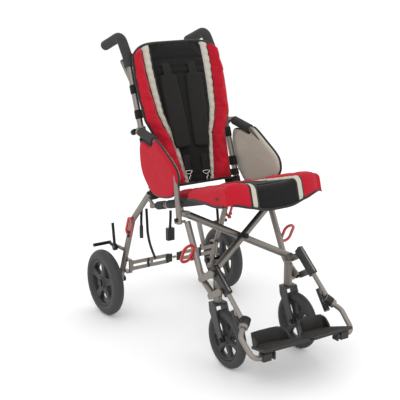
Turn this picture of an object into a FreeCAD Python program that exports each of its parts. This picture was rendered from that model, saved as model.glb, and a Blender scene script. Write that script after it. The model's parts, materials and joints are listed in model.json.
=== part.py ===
"""Folding attendant-pushed mobility chair: two tube side frames joined by a scissor brace."""
import FreeCAD, Part
import math
import os
import Sketcher
from FreeCAD import Vector, Placement, Rotation

# ---------------------------------------------------------------- driving dimensions
# Lengths in millimetres, angles in degrees.  Y is measured from the rear axle, front is -Y.
DIMENSIONS = [
    ("rear_wheel_diameter", 254.0),
    ("rear_tyre_width", 44.0),
    ("rear_wheel_offset", 273.0),
    ("caster_diameter", 203.0),
    ("caster_tyre_width", 32.0),
    ("caster_offset", 150.0),
    ("caster_stem_forward", 588.0),
    ("caster_trail", 59.0),
    ("axle_behind_centre", 391.85),
    ("frame_tube", 22.0),
    ("brace_tube", 25.0),
    ("tube_wall", 1.8),
    ("leg_offset", 178.0),
    ("rear_leg_offset", 211.0),
    ("cane_offset", 183.0),
    ("rail_offset", 182.0),
    ("brace_half_width", 176.0),
    ("brace_low_height", 187.6),
    ("brace_high_height", 389.7),
    ("fold_axis_slope", 12.0),
    ("axle_radius", 6.0),
    ("axle_length", 102.0),
    ("axle_knob_radius", 11.0),
    ("axle_knob_length", 11.9),
    ("axle_cap_radius", 14.0),
    ("axle_cap_length", 4.8),
    ("caster_axle_radius", 5.0),
    ("caster_axle_length", 60.0),
    ("caster_bolt_head_radius", 8.5),
    ("caster_bolt_head_length", 5.5),
    ("plug_radius", 7.0),
    ("plug_length", 46.0),
    ("buckle_width", 28.0),
    ("buckle_thickness", 16.0),
    ("buckle_height", 46.0),
    ("running_gap", 0.05),
    ("foam_radius", 15.0),
    ("grip_radius", 18.5),
    ("arm_pad_radius", 16.5),
    ("loop_thickness", 6.0),
    ("apron_drop", 52.0),
    ("plate_slope", 17.3),
    ("plate_thickness", 8.0),
    ("heel_cup_height", 48.0),
    ("cushion_thickness", 24.0),
    ("back_thickness", 62.0),
]

doc = FreeCAD.newDocument("push_chair")
sheet = doc.addObject("Spreadsheet::Sheet", "Dims")
for row, (alias, value) in enumerate(DIMENSIONS, start=1):
    sheet.set("A%d" % row, alias.replace("_", " "))
    sheet.set("B%d" % row, str(value))
    sheet.setAlias("B%d" % row, alias)
doc.recompute()


def dim(alias):
    """A driving dimension's value."""
    return float(sheet.get(alias))


SHIFT = Placement(Vector(0, dim("axle_behind_centre"), 0), Rotation())
SUBPARTS = []
X_DIR, Y_DIR, Z_DIR = Vector(1, 0, 0), Vector(0, 1, 0), Vector(0, 0, 1)

# The brace folds about axes parallel to FOLD_AXIS, which falls towards the rear.
FOLD_SLOPE = math.radians(dim("fold_axis_slope"))
FOLD_AXIS = Vector(0, math.cos(FOLD_SLOPE), -math.sin(FOLD_SLOPE))
FOLD_UP = Vector(0, math.sin(FOLD_SLOPE), math.cos(FOLD_SLOPE))


def brace_point(x, up, along):
    """Point from its place across, up and along the fold axes."""
    return X_DIR * x + FOLD_UP * up + FOLD_AXIS * along


# ---------------------------------------------------------------- shape helpers
def keep(item):
    """Adds a finished sub-part to the list that is checked and written."""
    SUBPARTS.append(item)
    return item


def feature(label, shape):
    """Sub-part whose shape the sheet's values give through a function."""
    item = doc.addObject("Part::Feature", label)
    item.Label = label
    item.Shape = shape
    item.Placement = SHIFT.multiply(item.Placement)
    return keep(item)


def mirror(item, label):
    """The other side's piece, mirrored about the chair's middle plane."""
    other = doc.addObject("Part::Mirroring", label)
    other.Label = label
    other.Source = item
    other.Base = Vector(0, 0, 0)
    other.Normal = X_DIR
    return keep(other)


def pair(label, shape):
    """A left piece and its mirror image."""
    left = feature(label + "_left", shape)
    mirror(left, label + "_right")
    return left


def rounded_path(points, radius):
    """Wire of straight runs joined by tangent arcs of one radius."""
    points = [Vector(*p) for p in points]
    edges = []
    start = points[0]
    for before, corner, after in zip(points, points[1:], points[2:]):
        toward = (corner - before).normalize()
        away = (after - corner).normalize()
        turn = toward.getAngle(away)
        setback = radius * math.tan(turn / 2)
        first = corner - toward * setback
        last = corner + away * setback
        bisector = (away - toward).normalize()
        middle = corner + bisector * (radius / math.cos(turn / 2) - radius)
        edges.append(Part.LineSegment(start, first).toShape())
        edges.append(Part.Arc(first, middle, last).toShape())
        start = last
    edges.append(Part.LineSegment(start, points[-1]).toShape())
    return Part.Wire(edges)


def swept(points, radius, bend):
    """Round bar along a rounded path."""
    if len(points) > 2:
        path = rounded_path(points, bend)
    else:
        path = Part.makePolygon([Vector(*p) for p in points])
    first = Vector(*points[0])
    direction = Vector(*points[1]) - first
    section = Part.Wire(Part.makeCircle(radius, first, direction))
    return path.makePipeShell([section], True, False)


def tube(points, outer, inner, bend=40.0):
    """Hollow tube: the outer bar less the inner one."""
    return swept(points, outer, bend).cut(swept(points, inner, bend))


def rod(start, end, radius):
    """Cylinder between two points."""
    start, end = Vector(*start), Vector(*end)
    return Part.makeCylinder(radius, (end - start).Length, start, end - start)


def box(low, high):
    """Box between two corners."""
    size = [b - a for a, b in zip(low, high)]
    return Part.makeBox(size[0], size[1], size[2], Vector(*low))


def side_plate(outline, x_low, x_high, corner=0.0):
    """Plate across X from an outline of (y, z) points, its edges along X rounded."""
    ring = [Vector(x_low, y, z) for y, z in outline]
    solid = Part.Face(Part.makePolygon(ring + ring[:1])).extrude(X_DIR * (x_high - x_low))
    if corner > 0:
        rounded = [e for e in solid.Edges if abs(abs(e.tangentAt(e.FirstParameter).x) - 1) < 1e-6]
        solid = solid.makeFillet(corner, rounded)
    return solid


def strap_bar(start, end, x_low, x_high, half):
    """Flat link with round ends between two (y, z) points."""
    ends = [Part.makeCylinder(half, x_high - x_low, Vector(x_low, y, z), X_DIR) for y, z in (start, end)]
    along = Vector(0, end[0] - start[0], end[1] - start[1]).normalize()
    side = along.cross(X_DIR) * half
    a, b = Vector(x_low, *start), Vector(x_low, *end)
    ring = [a + side, b + side, b - side, a - side, a + side]
    middle = Part.Face(Part.makePolygon(ring)).extrude(X_DIR * (x_high - x_low))
    return ends[0].fuse([ends[1], middle]).removeSplitter()


TUBE = dim("frame_tube") / 2
BORE = TUBE - dim("tube_wall")
GAP = dim("running_gap")
LEG_X = dim("leg_offset")
REAR_X = dim("rear_leg_offset")
CANE_X = dim("cane_offset")
RAIL_X = dim("rail_offset")
BRACE_X = dim("brace_half_width")
LOW, HIGH = dim("brace_low_height"), dim("brace_high_height")
PIN = 4.0
BRACE_STEP = 28.0
LOW_A, HIGH_A = -609.5, -524.7
LOW_B, HIGH_B = LOW_A - BRACE_STEP, HIGH_A - BRACE_STEP
MID_A, MID_B = (LOW_A + HIGH_A) / 2, (LOW_B + HIGH_B) / 2


# ---------------------------------------------------------------- wheels
def revolved(label, centre_x, centre_y, centre_z, profile):
    """PartDesign body turned about a wheel's axle line; profile(sketch) draws the half section."""
    body = doc.addObject("PartDesign::Body", label)
    body.Label = label
    sketch = body.newObject("Sketcher::SketchObject", label + "_profile")
    plane = [f for f in body.Origin.OriginFeatures if f.Role == "XY_Plane"][0]
    sketch.AttachmentSupport = [(plane, "")]
    sketch.MapMode = "FlatFace"
    profile(sketch)
    turn = body.newObject("PartDesign::Revolution", label + "_turn")
    turn.Profile = sketch
    turn.ReferenceAxis = (sketch, ["H_Axis"])
    turn.Angle = 360
    body.Placement = Placement(Vector(centre_x, centre_y + dim("axle_behind_centre"), centre_z), Rotation())
    return body


def tyre(label, diameter, width, centre):
    """Solid tyre: a ring with a flat inner face and a round tread."""
    def profile(sketch):
        inner = "Dims.%s / 2 - Dims.%s * 0.86" % (diameter, width)
        half = dim(width) / 2
        outer_r = dim(diameter) / 2
        inner_r = outer_r - dim(width) * 0.86
        shoulder = outer_r - half
        sketch.addGeometry(Part.LineSegment(Vector(-half * 0.8, inner_r, 0), Vector(half * 0.8, inner_r, 0)))
        sketch.addGeometry(Part.LineSegment(Vector(half * 0.8, inner_r, 0), Vector(half, shoulder, 0)))
        arc = Part.Arc(Vector(half, shoulder, 0), Vector(0, outer_r, 0), Vector(-half, shoulder, 0))
        sketch.addGeometry(arc)
        sketch.addGeometry(Part.LineSegment(Vector(-half, shoulder, 0), Vector(-half * 0.8, inner_r, 0)))
        base = sketch.addConstraint(Sketcher.Constraint("DistanceY", -1, 1, 0, 1, inner_r))
        sketch.setExpression("Constraints[%d]" % base, inner)
    return keep(revolved(label, *centre, profile))


def rim(label, outer, half, spokes, hub, bore, centre):
    """Moulded rim: outer ring, hub and tapered spokes, bored for the axle."""
    ring = Part.makeCylinder(outer, 2 * half, Vector(-half, 0, 0), X_DIR)
    ring = ring.cut(Part.makeCylinder(outer - 13, 2 * half, Vector(-half, 0, 0), X_DIR))
    middle = Part.makeCylinder(hub, 2 * half + 6, Vector(-half - 3, 0, 0), X_DIR)
    pieces = [middle]
    for index in range(spokes):
        root, tip = hub * 0.55, hub * 0.36
        outline = [(-root, 0), (-tip, outer - 8), (tip, outer - 8), (root, 0)]
        spoke = side_plate(outline, -half * 0.55, half * 0.55)
        spoke.rotate(Vector(), X_DIR, 360.0 * index / spokes + 18)
        pieces.append(spoke)
    wheel = ring.fuse(pieces)
    wheel = wheel.cut(Part.makeCylinder(bore + GAP, 200, Vector(-100, 0, 0), X_DIR))
    wheel.translate(Vector(*centre))
    return feature(label, wheel)


REAR_R = dim("rear_wheel_diameter") / 2
REAR_WHEEL = (dim("rear_wheel_offset"), 0.0, REAR_R)
CASTER_R = dim("caster_diameter") / 2
CASTER_Y = -dim("caster_stem_forward") - dim("caster_trail")
CASTER = (dim("caster_offset"), CASTER_Y, CASTER_R)
AXLE = dim("axle_radius")

for side, name in ((1, "left"), (-1, "right")):
    rear = (side * REAR_WHEEL[0], REAR_WHEEL[1], REAR_WHEEL[2])
    tyre("rear_tyre_" + name, "rear_wheel_diameter", "rear_tyre_width", rear)
    rim("rear_rim_" + name, REAR_R - dim("rear_tyre_width") * 0.86, 17.0, 5, 24.0, AXLE, rear)
    front = (side * CASTER[0], CASTER[1], CASTER[2])
    tyre("caster_tyre_" + name, "caster_diameter", "caster_tyre_width", front)
    rim("caster_rim_" + name, CASTER_R - dim("caster_tyre_width") * 0.86, 12.0, 6, 17.0, 5.0, front)


def bound_cylinder(label, start, direction, radius, length):
    """Cylinder whose radius and length are bound to the sheet's aliases."""
    item = doc.addObject("Part::Cylinder", label)
    item.setExpression("Radius", "Dims." + radius)
    item.setExpression("Height", "Dims." + length)
    item.Placement = SHIFT.multiply(Placement(Vector(*start), Rotation(Z_DIR, direction)))
    return item


def turned_pair(label, y, z, stations):
    """Left and right pins across the chair; each station has its start in X, radius and length."""
    pieces = []
    for index, (x, radius, length) in enumerate(stations):
        pieces.append(bound_cylinder("%s_step_%d" % (label, index), (x, y, z), X_DIR, radius, length))
    left = doc.addObject("Part::MultiFuse", label + "_left")
    left.Label = label + "_left"
    left.Shapes = pieces
    keep(left)
    mirror(left, label + "_right")


# Rear axle: pin with an inner knob and an outer cap.
turned_pair("rear_axle", 0, REAR_R, [
    (194.0, "axle_radius", "axle_length"),
    (188.0, "axle_knob_radius", "axle_knob_length"),
    (293.2, "axle_cap_radius", "axle_cap_length"),
])

# Caster fork: two blades, crown and stem; the stem turns in the frame's housing.
STEM_Y = -dim("caster_stem_forward")
CROWN_Z = 2 * CASTER_R + 4
fork = rod((CASTER[0], STEM_Y, CROWN_Z), (CASTER[0], STEM_Y, 300), 7.0)
for sign in (1, -1):
    inner, outer = CASTER[0] + sign * 20.5, CASTER[0] + sign * 26.5
    blade = [(STEM_Y - 18, CROWN_Z + 9), (STEM_Y + 16, CROWN_Z + 9), (STEM_Y + 12, CROWN_Z - 22),
             (CASTER_Y + 13, CASTER_R - 6), (CASTER_Y, CASTER_R - 13), (CASTER_Y - 13, CASTER_R - 6)]
    fork = fork.fuse(side_plate(blade, min(inner, outer), max(inner, outer)))
crown = box((CASTER[0] - 26.5, STEM_Y - 18, CROWN_Z), (CASTER[0] + 26.5, STEM_Y + 16, CROWN_Z + 9))
fork = fork.fuse(crown)
fork = fork.cut(rod((CASTER[0] - 40, CASTER_Y, CASTER_R), (CASTER[0] + 40, CASTER_Y, CASTER_R), 5.0))
pair("caster_fork", fork.removeSplitter())
turned_pair("caster_axle", CASTER_Y, CASTER_R, [
    (CASTER[0] - 30, "caster_axle_radius", "caster_axle_length"),
    (CASTER[0] + 26.5, "caster_bolt_head_radius", "caster_bolt_head_length"),
    (CASTER[0] - 32, "caster_bolt_head_radius", "caster_bolt_head_length"),
])

# ---------------------------------------------------------------- side frames
# Front leg: slanted tube that curves forward at its foot, with the caster housing welded inboard.
LEG_TOP, LEG_KNEE, LEG_END = (-441, 466), (-533, 290), (-608, 247)
HANGER_TOP, HANGER_LOW = (-612, 346), (-687, 287)
UNION = Vector(177, -782, 212)
leg = tube([(LEG_X, *LEG_TOP), (LEG_X, *LEG_KNEE), (LEG_X, *LEG_END)], TUBE, BORE, 55)
housing = rod((CASTER[0], STEM_Y, CROWN_Z + 10), (CASTER[0], STEM_Y, 296), 15.0)
housing = housing.fuse(rod((CASTER[0], STEM_Y, 290), (CASTER[0], STEM_Y, 306), 12.5))
housing = housing.fuse(box((CASTER[0], STEM_Y - 5, 232), (LEG_X, STEM_Y + 6, 262)))
pin_end = brace_point(BRACE_X, LOW, -574.0)
pin_tip = brace_point(BRACE_X, LOW, LOW_B - 15)
leg = leg.fuse([housing, rod(tuple(pin_end), tuple(pin_tip), PIN)])
leg = leg.fuse([strap_bar((-549, 293), (-619, 333), 189.3, 196.3, 11),
                strap_bar((-606, 250), (-664, 284), 189.3, 196.3, 11)])
leg = leg.cut(rod((CASTER[0], STEM_Y, CROWN_Z), (CASTER[0], STEM_Y, 301), 7.0 + GAP))
pair("front_leg", leg.removeSplitter())

# Rear leg: from the foot of the back cane down to the axle boss.
rear_leg = tube([(186, -200, 512), (REAR_X, -114, 394), (REAR_X, 4, 96)], TUBE, BORE, 60)
boss = rod((REAR_X - 11, 0, REAR_R), (REAR_X + 13, 0, REAR_R), 13.5)
rear_leg = rear_leg.fuse(boss)
rail_dir = Vector(0, -455, 135).normalize()
saddle = Vector(RAIL_X, -222, 470)
stub = rod(tuple(saddle - rail_dir * 16), tuple(saddle + rail_dir * 20), 9.0)
lug = rod((RAIL_X, -213, 473), (RAIL_X + 5, -190, 497), 7.0)
BAR_X, BAR_Y, BAR_HIGH, BAR_LOW = 197.0, -63.0, 208.0, 184.0
bar_pin = rod((BAR_X, BAR_Y, BAR_LOW - 15), (BAR_X, BAR_Y, BAR_HIGH + 15), 3.0)
ears = [box((BAR_X - 6, BAR_Y - 6, z), (REAR_X + 2, BAR_Y + 37, z + 4))
        for z in (BAR_LOW - 14, BAR_HIGH + 10)]
LOCK = Vector(238, -20, 268)
lock_arm = rod((REAR_X + 12, -60, LOCK.z), (REAR_X + 13, LOCK.y, LOCK.z), 7.0)
lock_pin = rod((REAR_X + 13, LOCK.y, LOCK.z), (LOCK.x + 6, LOCK.y, LOCK.z), 5.0)
rear_leg = rear_leg.fuse([stub, lug, bar_pin, lock_arm, lock_pin] + ears)
rear_leg = rear_leg.cut(rod((REAR_X - 30, 0, REAR_R), (REAR_X + 30, 0, REAR_R), AXLE))
pair("rear_leg", rear_leg.removeSplitter())

# Back cane and push grip: one bent tube with a foam sleeve on its handle.
cane_path = [(CANE_X, -225, 508), (CANE_X, -49, 988), (CANE_X, 2, 1057), (CANE_X, 120, 1012.7)]
pair("back_cane", tube(cane_path, TUBE, BORE, 38))
grip_path = [(CANE_X, -62, 952.5), (CANE_X, -49, 988), (CANE_X, 2, 1057), (CANE_X, 122, 1012)]
grip = swept(grip_path, dim("grip_radius"), 38).cut(swept(cane_path, TUBE + 0.02, 38))
pair("push_grip", grip)

# Arm tube: collar on the cane, level run for the pad, a falling run inside the guard, then down
# beside the front leg.
ARM_REAR, ARM_BEND = (203, -158, 738), (205, -290, 716)
ARM_PATH = [ARM_REAR, ARM_BEND, (212, -424, 640), (210, -442, 462)]
arm = tube(ARM_PATH, 10.0, 8.2, 50)
collar_dir = Vector(0, 0.344, 0.939)
collar_centre = Vector(CANE_X, -143, 732)
collar = rod(tuple(collar_centre - collar_dir * 13), tuple(collar_centre + collar_dir * 13), 17.0)
arm = arm.fuse([collar, rod((190, -150, 735), (206, -160, 738), 10)])
arm = arm.fuse(rod((LEG_X + 11, -446, 470), (LEG_X + 50, -442, 470), 4.5))
arm = arm.fuse(rod(tuple(collar_centre), tuple(collar_centre + Vector(0, 34, -12)), 7.0))
arm = arm.cut(swept(cane_path, TUBE + 0.02, 38))
pair("arm_tube", arm.removeSplitter())
pad_start = Vector(*ARM_REAR) * 0.88 + Vector(*ARM_BEND) * 0.12
pad_end = Vector(*ARM_REAR) * 0.14 + Vector(*ARM_BEND) * 0.86
pad = rod(tuple(pad_start), tuple(pad_end), dim("arm_pad_radius")).cut(swept(ARM_PATH, 10.02, 50))
pair("arm_pad", pad)

# Tie-down loops: flat steel rings bolted to the front and rear legs.
def tie_loop(centre, lean, straight, outer_half, inner_half, facing):
    """Long ring that leans forward from upright by an angle; facing turns it to look ahead."""
    half_thick = dim("loop_thickness") / 2
    outer = strap_bar((0, -straight), (0, straight), -half_thick, half_thick, outer_half)
    inner = strap_bar((0, -straight), (0, straight), -half_thick - 1, half_thick + 1, inner_half)
    ring = outer.cut(inner)
    if facing:
        ring.rotate(Vector(), Z_DIR, 90)
    ring.rotate(Vector(), X_DIR, lean)
    ring.translate(Vector(*centre))
    return ring


FRONT_LOOP = (LEG_X + 35.2, -498, 372)
REAR_LOOP = (REAR_X + 14.2, -112, 372)
loops = tie_loop(FRONT_LOOP, 27.0, 18, 24, 15, True).fuse(tie_loop(REAR_LOOP, 22.0, 21, 18, 10, False))
for y, z, x in ((-488, 362, LEG_X), (-494, 348, LEG_X), (-118, 350, REAR_X), (-112, 334, REAR_X)):
    loops = loops.fuse(rod((x + 11.0, y, z), (x + 19, y, z), 5.5))
pair("tie_loops", loops)

# ---------------------------------------------------------------- wheel locks
lever = rod((LOCK.x - 5.9, LOCK.y, LOCK.z), (LOCK.x + 5.9, LOCK.y, LOCK.z), 13.0)
lever = lever.fuse(rod((LOCK.x, LOCK.y + 2, LOCK.z + 6), (LOCK.x, LOCK.y + 14, LOCK.z + 92), 5.5))
lever = lever.fuse(rod((LOCK.x, LOCK.y + 4, LOCK.z), (LOCK.x, LOCK.y + 44, LOCK.z + 7), 6.0))
lever = lever.fuse(rod((LOCK.x - 5, LOCK.y + 44, LOCK.z + 7), (LOCK.x + 68, LOCK.y + 44, LOCK.z + 7), 6.5))
lever = lever.cut(rod((LOCK.x - 20, LOCK.y, LOCK.z), (LOCK.x + 20, LOCK.y, LOCK.z), 5.0 + GAP))
pair("lock_lever", lever)

# ---------------------------------------------------------------- scissor brace
BRACE_R = dim("brace_tube") / 2


def brace(x_low, along_low, along_high):
    """Cross tube between its lower and upper pivots, with bores for three pins."""
    low, high = brace_point(x_low, LOW, along_low), brace_point(-x_low, HIGH, along_high)
    run = (high - low).normalize()
    body = rod(tuple(low), tuple(high), BRACE_R)
    for spot in (low, high):
        body = body.fuse(rod(tuple(spot - FOLD_AXIS * 12), tuple(spot + FOLD_AXIS * 12), 12.0))
    body = body.cut(rod(tuple(low + run * 30), tuple(high - run * 30), BRACE_R - 1.8))
    for spot, radius in ((low, PIN), (high, PIN), ((low + high) * 0.5, 5.0)):
        body = body.cut(rod(tuple(spot - FOLD_AXIS * 30), tuple(spot + FOLD_AXIS * 30), radius + GAP))
    return body


strut_low = brace_point(BRACE_X, LOW, -45.0)
strut_high = brace_point(-136, 366.9, -534.0)
strut = rod(tuple(strut_low), tuple(strut_high), 9.0)
strut_run = (strut_high - strut_low).normalize()
strut = strut.cut(rod(tuple(strut_low + strut_run * 20), tuple(strut_high), 7.2))
strut = strut.cut(rod(tuple(strut_low - FOLD_AXIS * 30), tuple(strut_low + FOLD_AXIS * 30), PIN + GAP))
middle_bore = brace_point(0, (LOW + HIGH) / 2, MID_A)
cross_a = brace(BRACE_X, LOW_A, HIGH_A).fuse(strut)
cross_a = cross_a.cut(rod(tuple(middle_bore - FOLD_AXIS * 60),
                          tuple(middle_bore + FOLD_AXIS * 60), 5.0 + GAP))
high_a = brace_point(-BRACE_X, HIGH, HIGH_A)
cross_a = cross_a.cut(rod(tuple(high_a - FOLD_AXIS * 30), tuple(high_a + FOLD_AXIS * 30), PIN + GAP))
feature("cross_tube_a", cross_a)
feature("cross_tube_b", brace(-BRACE_X, LOW_B, HIGH_B))
centre = brace_point(0, (LOW + HIGH) / 2, 0)
bolt_start, bolt_end = centre + FOLD_AXIS * (MID_B - 16.0), centre + FOLD_AXIS * (MID_A + 16.0)
cross_bolt = rod(tuple(bolt_start), tuple(bolt_end), 5.0)
cross_bolt = cross_bolt.fuse([rod(tuple(bolt_start - FOLD_AXIS * 6), tuple(bolt_start), 9.5),
                              rod(tuple(bolt_end), tuple(bolt_end + FOLD_AXIS * 6), 9.5)])
feature("cross_bolt", cross_bolt)
strut_pin = rod(tuple(strut_low - FOLD_AXIS * 14), tuple(strut_low + FOLD_AXIS * 12), PIN)
pin_plate = rod(tuple(strut_low + FOLD_AXIS * 12), tuple(strut_low + FOLD_AXIS * 18), 9.0)
pin_arm = rod(tuple(strut_low + FOLD_AXIS * 15), (REAR_X - 2, -24, 184), 5.0)
feature("strut_pin", strut_pin.fuse([pin_plate, pin_arm]).cut(
    rod((REAR_X, -114, 394), (REAR_X, 4, 96), TUBE + 0.02)))

# ---------------------------------------------------------------- seat rails
RAIL_START, RAIL_END = Vector(RAIL_X, -252, 478), Vector(RAIL_X, -680, 605)


def seat_rail(x, along_pin, plate_gap):
    """Rail tube with its lug and pin on the top of a cross tube."""
    sign = 1 if x > 0 else -1
    start = Vector(x, RAIL_START.y, RAIL_START.z)
    end = Vector(x, RAIL_END.y, RAIL_END.z)
    rail = tube([tuple(start), tuple(end)], 11.0, 9.2)
    pivot = brace_point(sign * BRACE_X, HIGH, 0)
    pin = rod(tuple(pivot + FOLD_AXIS * (along_pin - 14)), tuple(pivot + FOLD_AXIS * plate_gap), PIN)
    plate_low = pivot + FOLD_AXIS * (plate_gap - 5)
    plate = rod(tuple(plate_low), tuple(plate_low + FOLD_AXIS * 5), 10.0)
    web_centre = plate_low + FOLD_AXIS * 2.5
    top = web_centre + FOLD_UP * 34 + X_DIR * sign * 4
    web = rod(tuple(web_centre + FOLD_UP * 6), tuple(top), 5.0)
    return rail.fuse([pin, plate, web]).removeSplitter()


feature("seat_rail_left", seat_rail(RAIL_X, HIGH_B, HIGH_B + 23.5))
feature("seat_rail_right", seat_rail(-RAIL_X, HIGH_A, HIGH_A + 23.5))
rail_run = (RAIL_END - RAIL_START).normalize()


def foam_piece(start, end):
    """Foam sleeve between two distances along the rail."""
    a, b = RAIL_START + rail_run * start, RAIL_START + rail_run * end
    outer = rod(tuple(a), tuple(b), dim("foam_radius"))
    return outer.cut(rod(tuple(RAIL_START), tuple(RAIL_END), 11.02))


def foam_notch(shape):
    """Room for the rail's lug under the sleeve."""
    for along in (HIGH_A + 21, HIGH_B + 21):
        low = brace_point(BRACE_X, HIGH, along)
        shape = shape.cut(rod(tuple(low), tuple(low + FOLD_UP * 40 + X_DIR * 5), 8.0))
    return shape


pair("rail_foam", foam_notch(foam_piece(3, 52).fuse(foam_piece(84, 420))))

# ---------------------------------------------------------------- rear crossbars

def rear_bars(sign, tab_z):
    """Half of the double crossbar: two flat bars, a link, a hinge barrel and a tab at the middle."""
    inner_end, outer_end = 25.0, 192.0
    spans = [(inner_end, outer_end, BAR_HIGH - 7, BAR_HIGH + 7),
             (inner_end, outer_end, BAR_LOW - 7, BAR_LOW + 7),
             (inner_end, inner_end + 10, BAR_LOW - 7, BAR_HIGH + 7), (98.0, 108.0, BAR_LOW, BAR_HIGH),
             (184.0, BAR_X, BAR_LOW - 9, BAR_HIGH + 9), (-6.0, inner_end + 2, tab_z, tab_z + 4)]
    solids = []
    for near, far, low_z, high_z in spans:
        low_x, high_x = sorted((sign * near, sign * far))
        solids.append(box((low_x, BAR_Y - 2, low_z), (high_x, BAR_Y + 2, high_z)))
    solids.append(rod((sign * BAR_X, BAR_Y, BAR_LOW - 9), (sign * BAR_X, BAR_Y, BAR_HIGH + 9), 6.0))
    half = solids[0].fuse(solids[1:])
    hole = rod((sign * BAR_X, BAR_Y, BAR_LOW - 30), (sign * BAR_X, BAR_Y, BAR_HIGH + 30), 3.0 + GAP)
    return half.cut(hole).removeSplitter()


feature("rear_bars_left", rear_bars(1, 192.2))
feature("rear_bars_right", rear_bars(-1, 196.8))

# ---------------------------------------------------------------- footrests
HANG_DIR = Vector(0, -0.785, -0.620).normalize()
hang_top = Vector(LEG_X, *HANGER_TOP)
across = HANG_DIR.cross(X_DIR).normalize()


def hanger_block(start, end, half_x, half_across):
    """Rectangular bar along the hanger's slope."""
    a, b = hang_top + HANG_DIR * start, hang_top + HANG_DIR * end
    ring = [a + X_DIR * half_x * sx + across * half_across * sa
            for sx, sa in ((1, 1), (1, -1), (-1, -1), (-1, 1))]
    return Part.Face(Part.makePolygon(ring + ring[:1])).extrude(b - a)


hanger = hanger_block(-6, 104, 9.3, 14).cut(rod(tuple(hang_top - HANG_DIR * 2),
                                                tuple(hang_top + HANG_DIR * 200), 8.1))
pair("hanger", hanger)
slide_tube = rod(tuple(hang_top + HANG_DIR * 2), tuple(hang_top + HANG_DIR * 196), 8.05)
UNION_DIR = Vector(0.65, -0.47, -0.60).normalize()
union_body = rod(tuple(UNION - UNION_DIR * 20), tuple(UNION + UNION_DIR * 9.9), 15.5)
clamp = rod((LEG_X, -722, 238), (LEG_X, -772, 172), 10.5)
link = rod((LEG_X, -735, 248), (LEG_X, -738, 222), 8.0)
slide = slide_tube.fuse([union_body, clamp, link])
slide = slide.cut(rod(tuple(UNION), tuple(UNION + UNION_DIR * 30), 9.0))
pair("footrest_slide", slide.removeSplitter())

C_POINTS = [tuple(UNION + UNION_DIR * 1), tuple(UNION + UNION_DIR * 52),
            (206, -872, 126.5), (140, -872, 126.5)]
elbow = tube(C_POINTS, 8.9, 7.0, 26)
ring = rod(tuple(UNION + UNION_DIR * 10), tuple(UNION + UNION_DIR * 20), 15.0)
elbow = elbow.fuse(ring.cut(rod(tuple(UNION), tuple(UNION + UNION_DIR * 30), 8.0)))
pair("footrest_elbow", elbow)

# Half footplate with a raised heel cup along its rear edge; it hinges on the elbow's end.
SLOPE = math.radians(dim("plate_slope"))
PLATE_RUN = Vector(0, -math.cos(SLOPE), math.sin(SLOPE))
PLATE_UP = Vector(0, math.sin(SLOPE), math.cos(SLOPE))
PLATE_ORIGIN = Vector(0, -781, 116)


def plate_point(x, run, up=0.0):
    """Point of the footplate from its place across, forward and above its lower face."""
    return PLATE_ORIGIN + X_DIR * x + PLATE_RUN * run + PLATE_UP * up


outline = [(149, 0), (184, 127), (6, 138), (6, 66), (44, 10), (72, 0)]
corners = [plate_point(x, run) for x, run in outline]
footplate = Part.Face(Part.makePolygon(corners + corners[:1])).extrude(PLATE_UP * dim("plate_thickness"))
long_edges = [e for e in footplate.Edges if e.Length < dim("plate_thickness") + 0.01]
footplate = footplate.makeFillet(9.0, long_edges)
cup_line = [(146, 8), (118, 1), (88, 1), (70, 3), (52, 9)]
for (x0, r0), (x1, r1) in zip(cup_line, cup_line[1:]):
    ring = [plate_point(x0, r0, 4), plate_point(x1, r1, 4),
            plate_point(x1, r1 + 5, 4), plate_point(x0, r0 + 5, 4)]
    wall = Part.Face(Part.makePolygon(ring + ring[:1])).extrude(PLATE_UP * dim("heel_cup_height"))
    footplate = footplate.fuse(wall)
hinge_axis_y, hinge_axis_z = -872.0, 126.5
for x0, x1 in ((128, 134), (144, 176)):
    footplate = footplate.fuse(box((x0, hinge_axis_y - 13, hinge_axis_z - 12),
                                   (x1, hinge_axis_y + 13, hinge_axis_z + 14)))
footplate = footplate.cut(rod((136, hinge_axis_y, hinge_axis_z),
                              (260, hinge_axis_y, hinge_axis_z), 8.9 + GAP))
pair("footplate", footplate.removeSplitter())

# ---------------------------------------------------------------- seat and back upholstery
# Seat sling between the rails, cushion on top of it, both plain closed solids.
RAIL_UP = Vector(0, rail_run.z, -rail_run.y)


def rail_slab(x_half, start, end, low, high):
    """Slab square to the rails: half width, run along the rail and heights above its centre line."""
    base = Vector(0, RAIL_START.y, RAIL_START.z)
    ring = [base + X_DIR * sx * x_half + rail_run * s + RAIL_UP * low
            for sx, s in ((-1, start), (1, start), (1, end), (-1, end))]
    return Part.Face(Part.makePolygon(ring + ring[:1])).extrude(RAIL_UP * (high - low))


FOAM = dim("foam_radius")
feature("seat_sling", rail_slab(RAIL_X - FOAM - 6, 20, 425, -4, 6))
cushion = rail_slab(136, 20, 220, FOAM + 1, FOAM + 1 + dim("cushion_thickness"))
cushion = cushion.fuse(rail_slab(196, 219, 462, FOAM + 1, FOAM + 1 + dim("cushion_thickness")))
# The front of the cushion hangs down ahead of the rail ends.
apron = rail_slab(196, 450, 474, -dim("apron_drop"), FOAM + 1 + dim("cushion_thickness"))
feature("seat_cushion", cushion.fuse(apron).removeSplitter())

CANE_DIR = Vector(0, 0.344, 0.939).normalize()
BACK_FRONT = Vector(0, -0.939, 0.344).normalize()
BACK_BASE = Vector(0, -225, 508)


def back_plate(outline, near, far):
    """Plate parallel to the canes from an outline of (x, height) points, near to far in front of them."""
    ring = [BACK_BASE + X_DIR * x + CANE_DIR * s + BACK_FRONT * near for x, s in outline]
    return Part.Face(Part.makePolygon(ring + ring[:1])).extrude(BACK_FRONT * (far - near))


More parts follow.
